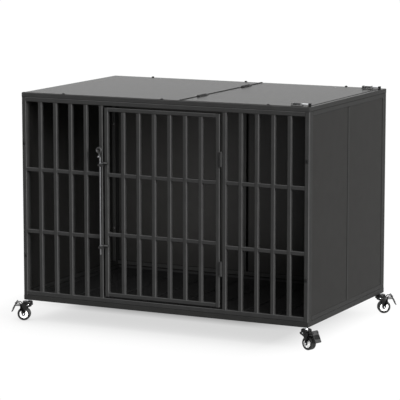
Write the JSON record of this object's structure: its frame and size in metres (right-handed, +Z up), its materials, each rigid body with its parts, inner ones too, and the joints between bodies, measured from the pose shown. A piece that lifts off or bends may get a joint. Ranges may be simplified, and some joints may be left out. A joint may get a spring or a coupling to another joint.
{
  "type": "heavy duty dog crate",
  "caption": "Rectangular steel dog crate on swivel casters, with a barred front, hinged front door, side latch, sheet walls and a hinged lid with slide bolts.",
  "frame": {"origin": "on the ground, under the middle of the crate", "axes": "+X along the crate's length to the right, seen from the door; +Y from the door to the back; +Z up"},
  "size_m": [1.309, 0.8143, 0.9008],
  "materials": {
    "tube_coat": "satin powder coat",
    "sheet_coat": "satin powder coat",
    "tray_coat": "satin powder coat",
    "dark_steel": "black oxide",
    "chrome": "bright plated",
    "knob_plastic": "moulded",
    "caster_black": "gloss black",
    "hub_plastic": "moulded",
    "tyre_rubber": "moulded",
    "pedal_steel": "black plated steel"
  },
  "bodies": {
    "crate": {"base_front_rail": "tube_coat", "base_rear_rail": "tube_coat", "base_left_rail": "tube_coat", "base_right_rail": "tube_coat", "floor_slats": "tube_coat", "floor_tray": "tray_coat", "front_bottom_rail": "tube_coat", "front_top_rail": "tube_coat", "front_left_grille": "tube_coat", "front_right_grille": "tube_coat", "back_panel_frame": "tube_coat", "back_panel_sheets": "sheet_coat", "left_panel_frame": "tube_coat", "left_panel_sheets": "sheet_coat", "right_panel_frame": "tube_coat", "right_panel_sheets": "sheet_coat", "top_front_rail": "tube_coat", "top_rear_rail": "tube_coat", "top_left_rail": "tube_coat", "top_right_rail": "tube_coat", "top_mid_rail": "tube_coat", "roof_sheet": "sheet_coat", "corner_bolts": "dark_steel", "corner_nuts": "dark_steel", "roof_bolts": "dark_steel", "post_knuckles": "tube_coat", "roof_hinge_leaves": "tube_coat", "hinge_pins": "dark_steel", "latch_guides": "tube_coat", "lid_bolt_keepers": "dark_steel", "caster_stems": "chrome"},
    "door": {"door_frame": "tube_coat", "door_bars": "tube_coat", "door_knuckles": "tube_coat", "door_strikes": "tube_coat"},
    "latch": {"latch_rod": "chrome", "latch_knob": "knob_plastic"},
    "lid": {"lid_frame": "tube_coat", "lid_sheet": "sheet_coat", "lid_hinge_leaves": "tube_coat", "lid_bolt_guides": "chrome"},
    "front_bolt": {"front_lid_bolt": "chrome"},
    "rear_bolt": {"rear_lid_bolt": "chrome"},
    "front_left_swivel": {"front_left_fork": "caster_black"},
    "front_left_wheel": {"front_left_hub": "hub_plastic", "front_left_tyre": "tyre_rubber"},
    "front_left_brake": {"front_left_pedal": "pedal_steel"},
    "front_right_swivel": {"front_right_fork": "caster_black"},
    "front_right_wheel": {"front_right_hub": "hub_plastic", "front_right_tyre": "tyre_rubber"},
    "front_right_brake": {"front_right_pedal": "pedal_steel"},
    "rear_left_swivel": {"rear_left_fork": "caster_black"},
    "rear_left_wheel": {"rear_left_hub": "hub_plastic", "rear_left_tyre": "tyre_rubber"},
    "rear_left_brake": {"rear_left_pedal": "pedal_steel"},
    "rear_right_swivel": {"rear_right_fork": "caster_black"},
    "rear_right_wheel": {"rear_right_hub": "hub_plastic", "rear_right_tyre": "tyre_rubber"},
    "rear_right_brake": {"rear_right_pedal": "pedal_steel"}
  },
  "joints": [
    {"name": "door_swing", "type": "hinge", "parent": "crate", "child": "door", "pos_m": [0.247, -0.377, 0.48], "axis": [0, 0, 1], "range_deg": [0, 170]},
    {"name": "latch_slide", "type": "slide", "parent": "crate", "child": "latch", "axis": [1, 0, 0], "range_m": [0, 0.008]},
    {"name": "lid_swing", "type": "hinge", "parent": "crate", "child": "lid", "pos_m": [0.08, 0, 0.89465], "axis": [0, -1, 0], "range_deg": [0, 175]},
    {"name": "front_bolt_slide", "type": "slide", "parent": "lid", "child": "front_bolt", "axis": [1, 0, 0], "range_m": [0, 0.015]},
    {"name": "rear_bolt_slide", "type": "slide", "parent": "lid", "child": "rear_bolt", "axis": [1, 0, 0], "range_m": [0, 0.015]},
    {"name": "front_left_swivel_turn", "type": "hinge", "parent": "crate", "child": "front_left_swivel", "pos_m": [-0.59, -0.366, 0.07], "axis": [0, 0, 1], "continuous": true},
    {"name": "front_left_wheel_spin", "type": "hinge", "parent": "front_left_swivel", "child": "front_left_wheel", "pos_m": [-0.60316, -0.37079, 0.0255], "axis": [0.342, -0.9397, 0], "continuous": true},
    {"name": "front_left_brake_press", "type": "hinge", "parent": "front_left_swivel", "child": "front_left_brake", "pos_m": [-0.59094, -0.36634, 0.0595], "axis": [0.342, -0.9397, 0], "range_deg": [0, 12]},
    {"name": "front_right_swivel_turn", "type": "hinge", "parent": "crate", "child": "front_right_swivel", "pos_m": [0.59, -0.366, 0.07], "axis": [0, 0, 1], "continuous": true},
    {"name": "front_right_wheel_spin", "type": "hinge", "parent": "front_right_swivel", "child": "front_right_wheel", "pos_m": [0.60316, -0.37079, 0.0255], "axis": [0.342, 0.9397, 0], "continuous": true},
    {"name": "front_right_brake_press", "type": "hinge", "parent": "front_right_swivel", "child": "front_right_brake", "pos_m": [0.59094, -0.36634, 0.0595], "axis": [0.342, 0.9397, 0], "range_deg": [0, 12]},
    {"name": "rear_left_swivel_turn", "type": "hinge", "parent": "crate", "child": "rear_left_swivel", "pos_m": [-0.59, 0.366, 0.07], "axis": [0, 0, 1], "continuous": true},
    {"name": "rear_left_wheel_spin", "type": "hinge", "parent": "rear_left_swivel", "child": "rear_left_wheel", "pos_m": [-0.60346, 0.36986, 0.0255], "axis": [-0.2756, -0.9613, 0], "continuous": true},
    {"name": "rear_left_brake_press", "type": "hinge", "parent": "rear_left_swivel", "child": "rear_left_brake", "pos_m": [-0.59096, 0.36628, 0.0595], "axis": [-0.2756, -0.9613, 0], "range_deg": [0, 12]},
    {"name": "rear_right_swivel_turn", "type": "hinge", "parent": "crate", "child": "rear_right_swivel", "pos_m": [0.59, 0.366, 0.07], "axis": [0, 0, 1], "continuous": true},
    {"name": "rear_right_wheel_spin", "type": "hinge", "parent": "rear_right_swivel", "child": "rear_right_wheel", "pos_m": [0.60187, 0.37342, 0.0255], "axis": [-0.5299, 0.848, 0], "continuous": true},
    {"name": "rear_right_brake_press", "type": "hinge", "parent": "rear_right_swivel", "child": "rear_right_brake", "pos_m": [0.59085, 0.36653, 0.0595], "axis": [-0.5299, 0.848, 0], "range_deg": [0, 12]}
  ]
}
